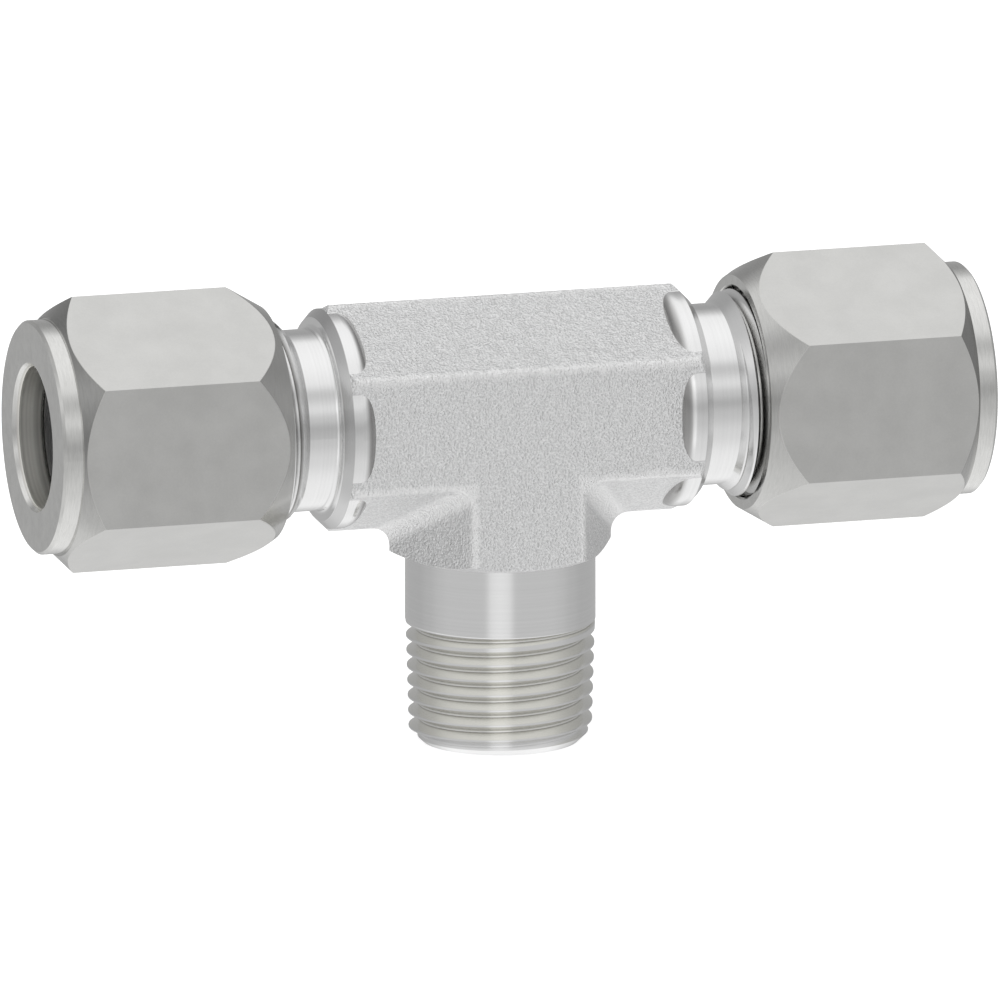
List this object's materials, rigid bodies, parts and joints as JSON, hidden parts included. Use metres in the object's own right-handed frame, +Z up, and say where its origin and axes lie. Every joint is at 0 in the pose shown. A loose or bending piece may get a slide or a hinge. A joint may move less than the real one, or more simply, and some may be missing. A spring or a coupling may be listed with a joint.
{
  "type": "compression fitting",
  "caption": "Steel branch tee that grips a tube at each end of its run with ferrules under hexagon nuts and has a tapered male pipe thread on its branch.",
  "frame": {"origin": "centre of the branch's open end face, the lowest plane of the part", "axes": "+Z up the branch towards the run, +X along the run towards the right-hand nut, front is -Y"},
  "size_m": [0.0886, 0.0222, 0.0437],
  "materials": {
    "forged_body": "blasted forging with bright turned ends",
    "machined_nut": "satin machined",
    "ferrule": "smooth turned"
  },
  "bodies": {
    "tee": {"tee_body": "forged_body"},
    "right_front": {"right_front_ferrule": "ferrule"},
    "right_back": {"right_back_ferrule": "ferrule"},
    "right_nut_body": {"right_nut": "machined_nut"},
    "left_front": {"left_front_ferrule": "ferrule"},
    "left_back": {"left_back_ferrule": "ferrule"},
    "left_nut_body": {"left_nut": "machined_nut"}
  },
  "joints": [
    {"name": "right_front_slide", "type": "slide", "parent": "tee", "child": "right_front", "axis": [1, 0, 0], "range_m": [-0.00095, 0.00476]},
    {"name": "right_back_slide", "type": "slide", "parent": "right_front", "child": "right_back", "axis": [1, 0, 0], "range_m": [-0.00064, 0.00318]},
    {"name": "right_nut_turn", "type": "hinge", "parent": "right_back", "child": "right_nut_body", "pos_m": [0.033, 0, 0.0309], "axis": [1, 0, 0], "range_deg": [-450, 2250]},
    {"name": "left_front_slide", "type": "slide", "parent": "tee", "child": "left_front", "axis": [-1, 0, 0], "range_m": [-0.00095, 0.00476]},
    {"name": "left_back_slide", "type": "slide", "parent": "left_front", "child": "left_back", "axis": [-1, 0, 0], "range_m": [-0.00064, 0.00318]},
    {"name": "left_nut_turn", "type": "hinge", "parent": "left_back", "child": "left_nut_body", "pos_m": [-0.033, 0, 0.0309], "axis": [-1, 0, 0], "range_deg": [-450, 2250]}
  ],
  "couplings": [
    {"joint": "right_nut_turn", "follows": "right_front_slide", "rad_per_m": 8245.7},
    {"joint": "right_back_slide", "follows": "right_front_slide", "ratio": 0.66667},
    {"joint": "left_nut_turn", "follows": "left_front_slide", "rad_per_m": 8245.7},
    {"joint": "left_back_slide", "follows": "left_front_slide", "ratio": 0.66667}
  ]
}
